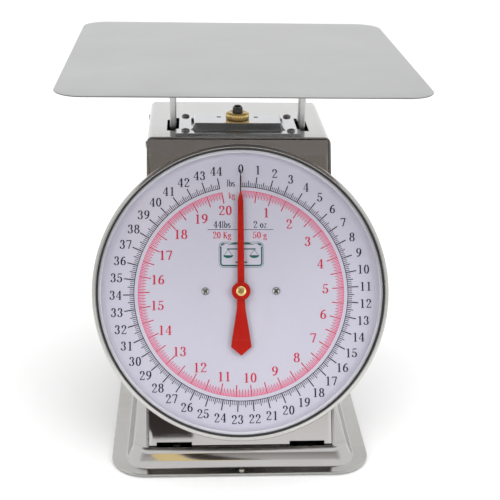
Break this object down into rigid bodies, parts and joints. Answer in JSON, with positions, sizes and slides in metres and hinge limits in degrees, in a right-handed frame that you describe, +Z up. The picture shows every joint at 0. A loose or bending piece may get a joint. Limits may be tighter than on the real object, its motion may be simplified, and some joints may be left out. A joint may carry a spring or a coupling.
{
  "type": "mechanical dial platform scale",
  "caption": "Bench spring scale: flat square weigh tray on two posts over a wedge housing with a large leaning round dial, red pointer and brass zero knob, on a pressed base.",
  "frame": {"origin": "middle of the whole outline (base front edge to tray rear edge), on the bench surface", "axes": "+Z up, -Y out of the side the dial faces, +X to the right of a person reading the dial"},
  "size_m": [0.254, 0.284, 0.274],
  "materials": {
    "tray_steel": "fine matte brushed stainless sheet",
    "base_steel": "satin pressed stainless, polished on the step",
    "housing_steel": "bright polished stainless with faint grain",
    "mirror_steel": "mirror polished stainless",
    "bezel_steel": "polished rolled ring",
    "drum_steel": "satin sheet steel",
    "dial_print": "semi-matt off-white enamel with printed scale",
    "clear_lens": "clear gloss",
    "black_rubber": "matt black rubber",
    "zinc_steel": "zinc-plated steel, dull grey",
    "screw_steel": "bright plated screws",
    "brass": "satin brass",
    "knob_brass": "knurled brass, worn on the ribs",
    "pointer_red": "moulded gloss red",
    "black_steel": "blackened steel",
    "spring_steel": "oiled spring wire"
  },
  "bodies": {
    "housing_assembly": {"base_plate": "base_steel", "rubber_feet": "black_rubber", "foot_screws": "screw_steel", "base_front_screw": "screw_steel", "housing_shell": "housing_steel", "front_panel": "mirror_steel", "rear_panel": "housing_steel", "side_screws": "screw_steel", "rear_panel_screws": "screw_steel", "housing_base_screws": "screw_steel", "top_bridge": "mirror_steel", "bridge_screws": "screw_steel", "inner_chassis": "zinc_steel", "chassis_screws": "screw_steel", "lever_pivot_rods": "zinc_steel", "dial_drum": "drum_steel", "dial_spacers": "zinc_steel", "dial_face": "dial_print", "dial_screws": "screw_steel", "lens": "clear_lens", "lens_gasket": "black_rubber", "bezel_ring": "bezel_steel", "movement_front_plate": "brass", "movement_pillars": "brass", "movement_rear_plate": "brass", "movement_screws": "screw_steel", "front_bush": "brass", "rear_bush": "brass", "main_springs": "spring_steel"},
    "carriage": {"weigh_tray": "tray_steel", "tray_bracket": "zinc_steel", "tray_sockets": "zinc_steel", "support_posts": "zinc_steel", "carriage_frame": "zinc_steel", "post_screws": "screw_steel", "carriage_pins": "zinc_steel", "rack_arm": "zinc_steel", "rack_arm_screws": "screw_steel", "gear_rack": "brass", "rack_screws": "screw_steel"},
    "pointer_assembly": {"pointer": "pointer_red", "pointer_arbor": "zinc_steel", "pinion": "brass", "pointer_screw": "brass"},
    "upper_guide": {"upper_lever": "zinc_steel"},
    "lower_guide": {"lower_lever": "zinc_steel"},
    "zero_nut": {"zero_knob": "knob_brass"},
    "hanger": {"zero_stud": "black_steel", "spring_hanger": "zinc_steel"}
  },
  "joints": [
    {"name": "platform_travel", "type": "slide", "parent": "housing_assembly", "child": "carriage", "axis": [0, 0, -1], "range_m": [0, 0.0178], "stiffness_N_per_m": 11000, "springref_m": -0.003, "deforming": ["main_springs"]},
    {"name": "pointer_turn", "type": "hinge", "parent": "housing_assembly", "child": "pointer_assembly", "pos_m": [0, -0.06993, 0.11419], "axis": [0, 0.8892, -0.4576], "range_deg": [0, 349.2]},
    {"name": "upper_lever_swing", "type": "hinge", "parent": "housing_assembly", "child": "upper_guide", "pos_m": [0, 0.072, 0.18], "axis": [1, 0, 0], "range_deg": [0, 17.1]},
    {"name": "lower_lever_swing", "type": "hinge", "parent": "housing_assembly", "child": "lower_guide", "pos_m": [0, 0.072, 0.06], "axis": [1, 0, 0], "range_deg": [0, 17.1]},
    {"name": "zero_knob_turn", "type": "hinge", "parent": "housing_assembly", "child": "zero_nut", "pos_m": [0, 0.015, 0.2235], "axis": [0, 0, 1], "range_deg": [-540, 540]},
    {"name": "hanger_lift", "type": "slide", "parent": "housing_assembly", "child": "hanger", "axis": [0, 0, 1], "range_m": [-0.00187, 0.00187], "deforming": ["main_springs"]}
  ],
  "couplings": [
    {"joint": "pointer_turn", "follows": "platform_travel", "rad_per_m": 341.99},
    {"joint": "upper_lever_swing", "follows": "platform_travel", "rad_per_m": 16.667},
    {"joint": "lower_lever_swing", "follows": "platform_travel", "rad_per_m": 16.667},
    {"joint": "zero_knob_turn", "follows": "hanger_lift", "rad_per_m": -5026.5}
  ]
}
